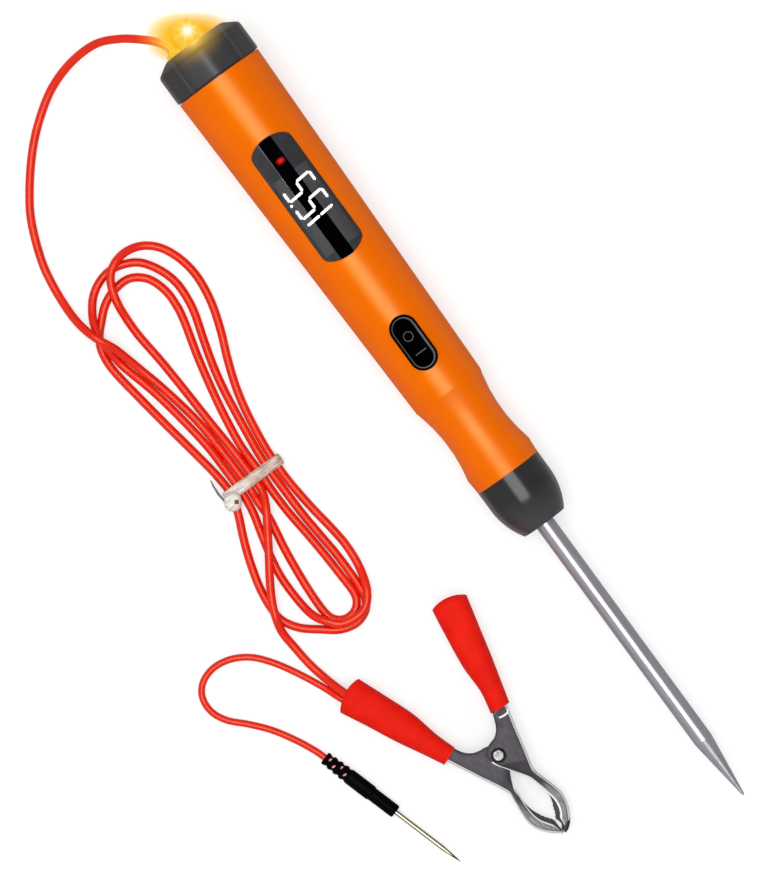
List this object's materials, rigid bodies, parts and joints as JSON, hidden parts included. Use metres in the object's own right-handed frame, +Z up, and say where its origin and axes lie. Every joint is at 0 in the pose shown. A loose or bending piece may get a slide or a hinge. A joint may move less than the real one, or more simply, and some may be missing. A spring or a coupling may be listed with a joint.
{
  "type": "test light",
  "caption": "Pen-shaped circuit tester with a steel probe, number display, rear lamp and rocker switch, on a tied ground lead with a spring clip and a needle probe.",
  "frame": {"origin": "on the supporting surface, under the middle of the tool from lamp tip to probe tip", "axes": "+X from the lamp to the probe tip, +Z up out of the surface, through the display and switch"},
  "size_m": [0.2119, 0.0924, 0.022],
  "materials": {
    "handle_plastic": "satin orange moulding",
    "trim_plastic": "satin charcoal moulding",
    "lens_plastic": "amber clear plastic",
    "led_resin": "clear epoxy",
    "tinned_wire": "tinned",
    "grommet_rubber": "matt",
    "lead_insulation": "red vinyl insulation",
    "window_plastic": "smoked clear plastic",
    "display_face": "black display face",
    "indicator_resin": "diffused red epoxy",
    "board_laminate": "green solder mask",
    "chip_body": "moulded epoxy",
    "switch_plastic": "black moulding",
    "socket_brass": "turned",
    "probe_steel": "polished, plated",
    "tie_nylon": "natural nylon",
    "clip_steel": "plated sheet",
    "rivet_steel": "bright",
    "sleeve_vinyl": "soft red vinyl",
    "boot_vinyl": "black vinyl",
    "needle_gold": "pale gold plating"
  },
  "bodies": {
    "tool": {"barrel": "handle_plastic", "end_cap": "trim_plastic", "lamp_lens": "lens_plastic", "lamp_led": "led_resin", "lamp_leads": "tinned_wire", "lead_grommet": "grommet_rubber", "lead_tail": "lead_insulation", "display_window": "window_plastic", "display_module": "display_face", "indicator_led": "indicator_resin", "circuit_board": "board_laminate", "controller_chip": "chip_body", "board_parts": "chip_body", "switch_bezel": "switch_plastic", "nose_collar": "trim_plastic", "probe_socket": "socket_brass", "probe_wire": "lead_insulation", "probe": "probe_steel", "lead_start": "lead_insulation", "lead_hank": "lead_insulation", "hank_tie": "tie_nylon", "lead_end": "lead_insulation", "clip_fixed_jaw": "clip_steel", "clip_pivot": "rivet_steel", "clip_spring": "rivet_steel", "clip_sleeve_fixed": "sleeve_vinyl", "short_lead": "lead_insulation", "needle_boot": "boot_vinyl", "needle": "needle_gold"},
    "rocker": {"switch_rocker": "switch_plastic"},
    "clip_half": {"clip_moving_jaw": "clip_steel", "clip_sleeve_moving": "sleeve_vinyl"}
  },
  "joints": [
    {"name": "rocker_tilt", "type": "hinge", "parent": "tool", "child": "rocker", "pos_m": [-0.0174, 0, 0.01569], "axis": [0, -1, 0], "range_deg": [0, 10]},
    {"name": "clip_open", "type": "hinge", "parent": "tool", "child": "clip_half", "pos_m": [0.0642, -0.0372, 0.0036], "axis": [0, 0, 1], "range_deg": [0, 28], "stiffness_Nm_per_rad": 0.15, "springref_deg": -28.65, "deforming": ["clip_spring"]}
  ]
}
